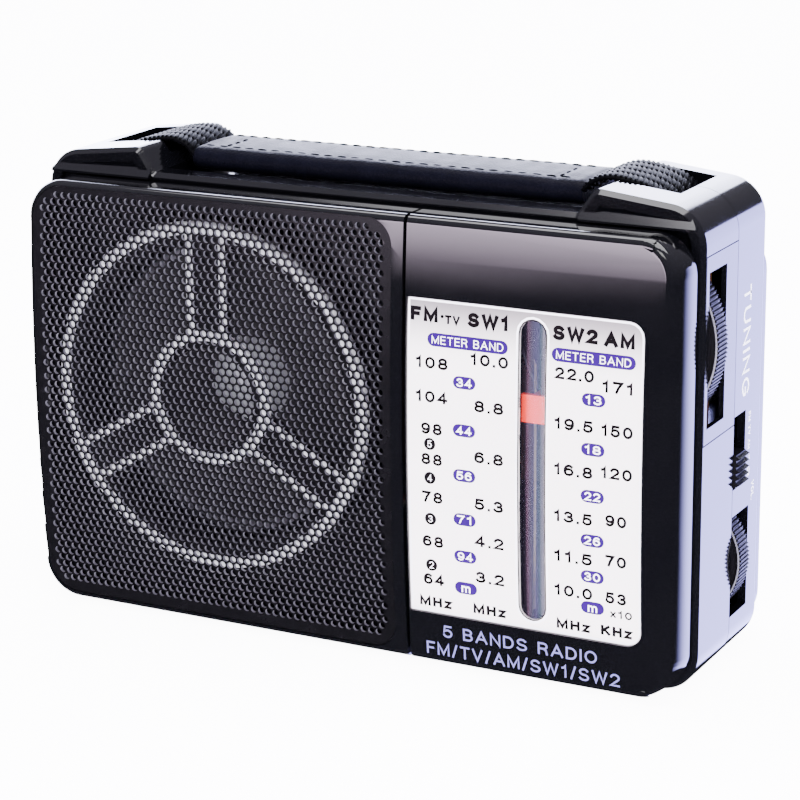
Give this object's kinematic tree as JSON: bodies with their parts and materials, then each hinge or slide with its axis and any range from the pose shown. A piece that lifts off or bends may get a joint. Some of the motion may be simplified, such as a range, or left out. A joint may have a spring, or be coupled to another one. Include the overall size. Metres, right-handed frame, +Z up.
{
  "type": "portable shortwave receiver",
  "caption": "Free-standing portable radio receiver with side thumbwheels, sliding band switch, printed dial with moving pointer, carrying strap, folding whip aerial and cell bay.",
  "frame": {"origin": "centre of the resting face, on the plane of the seam between the two case halves", "axes": "+X to the listener's right along the case, +Y away from the listener, +Z up"},
  "size_m": [0.1773, 0.0609, 0.1184],
  "materials": {
    "gloss_black": "mirror-gloss black moulding",
    "black_plastic": "satin black moulding",
    "mesh_black": "satin black perforated sheet",
    "guard_silver": "bright silver paint",
    "dial_silver": "pearl silver printed sheet",
    "clear_lens": "clear moulded strip",
    "pointer_orange": "orange-red",
    "steel": "bright steel",
    "chrome": "bright chrome plate",
    "brass_plate": "bare brass",
    "board_brown": "phenolic board",
    "cord_cream": "waxed dial cord",
    "capacitor_cream": "cream moulded body",
    "can_metal": "drawn can",
    "ferrite_grey": "sintered ferrite",
    "copper_winding": "enamelled wire",
    "paper_black": "pressed paper",
    "cell_wrap": "printed metal jacket",
    "webbing_black": "woven webbing",
    "leather_black": "polished grain"
  },
  "bodies": {
    "case": {"front_shell": "gloss_black", "rear_shell": "gloss_black", "side_plate": "gloss_black", "case_screws": "steel", "speaker_cover": "gloss_black", "dial_cover": "gloss_black", "trim_lip": "gloss_black", "speaker_grille": "mesh_black", "speaker_guard": "guard_silver", "dial_plate": "dial_silver", "dial_lens": "clear_lens", "pointer_rail": "steel", "dial_cord": "cord_cream", "cord_posts": "capacitor_cream", "tuning_capacitor": "capacitor_cream", "volume_control": "steel", "band_switch": "steel", "circuit_board": "board_brown", "board_screws": "steel", "coil_cans": "can_metal", "filter_capacitor": "gloss_black", "output_capacitor": "gloss_black", "radio_chip": "black_plastic", "ferrite_rod": "ferrite_grey", "aerial_coil": "copper_winding", "rod_holders": "capacitor_cream", "speaker_basket": "steel", "speaker_cone": "paper_black", "speaker_magnet": "ferrite_grey", "dust_cap": "can_metal", "speaker_screws": "steel", "cell_first": "cell_wrap", "cell_second": "cell_wrap", "cell_spring": "steel", "contact_plain": "steel", "contact_live": "steel", "mains_inlet": "black_plastic", "inlet_pins": "steel", "earphone_jack": "black_plastic", "transformer_core": "steel", "transformer_coil": "copper_winding", "handle_strap": "webbing_black", "handle_sleeve": "leather_black", "strap_pins": "steel", "aerial_bracket": "chrome", "aerial_pin": "steel"},
    "tuning": {"tuning_wheel": "black_plastic", "tuning_shaft": "brass_plate", "tuning_screw": "steel"},
    "pointer": {"pointer": "pointer_orange"},
    "volume": {"volume_wheel": "black_plastic", "volume_shaft": "brass_plate", "volume_screw": "steel"},
    "band_knob": {"band_knob": "black_plastic"},
    "cell_door": {"cell_door": "gloss_black"},
    "whip": {"whip_knuckle": "chrome", "whip_outer": "chrome"},
    "whip_second": {"whip_second": "chrome"},
    "whip_third": {"whip_third": "chrome"},
    "whip_tip": {"whip_tip": "chrome"}
  },
  "joints": [
    {"name": "tuning_turn", "type": "hinge", "parent": "case", "child": "tuning", "pos_m": [0.0648, -0.0143, 0.0825], "axis": [0, -1, 0], "range_deg": [-132.5, 47.5]},
    {"name": "pointer_slide", "type": "slide", "parent": "case", "child": "pointer", "axis": [0, 0, 1], "range_m": [-0.0458, 0.0165]},
    {"name": "volume_turn", "type": "hinge", "parent": "case", "child": "volume", "pos_m": [0.0731, 0.00425, 0.0256], "axis": [0, -1, 0], "range_deg": [-140, 140]},
    {"name": "band_slide", "type": "slide", "parent": "case", "child": "band_knob", "axis": [0, 0, 1], "range_m": [-0.0003, 0.0092]},
    {"name": "door_swing", "type": "hinge", "parent": "case", "child": "cell_door", "pos_m": [0, 0.025, 0.0056], "axis": [-1, 0, 0], "range_deg": [0, 90]},
    {"name": "whip_fold", "type": "hinge", "parent": "case", "child": "whip", "pos_m": [-0.077, 0.0236, 0.1049], "axis": [0, -1, 0], "range_deg": [0, 135]},
    {"name": "whip_slide_second", "type": "slide", "parent": "whip", "child": "whip_second", "axis": [1, 0, 0], "range_m": [0, 0.1]},
    {"name": "whip_slide_third", "type": "slide", "parent": "whip_second", "child": "whip_third", "axis": [1, 0, 0], "range_m": [0, 0.1]},
    {"name": "whip_slide_tip", "type": "slide", "parent": "whip_third", "child": "whip_tip", "axis": [1, 0, 0], "range_m": [0, 0.1]}
  ],
  "couplings": [
    {"joint": "pointer_slide", "follows": "tuning_turn", "m_per_rad": 0.01975}
  ]
}
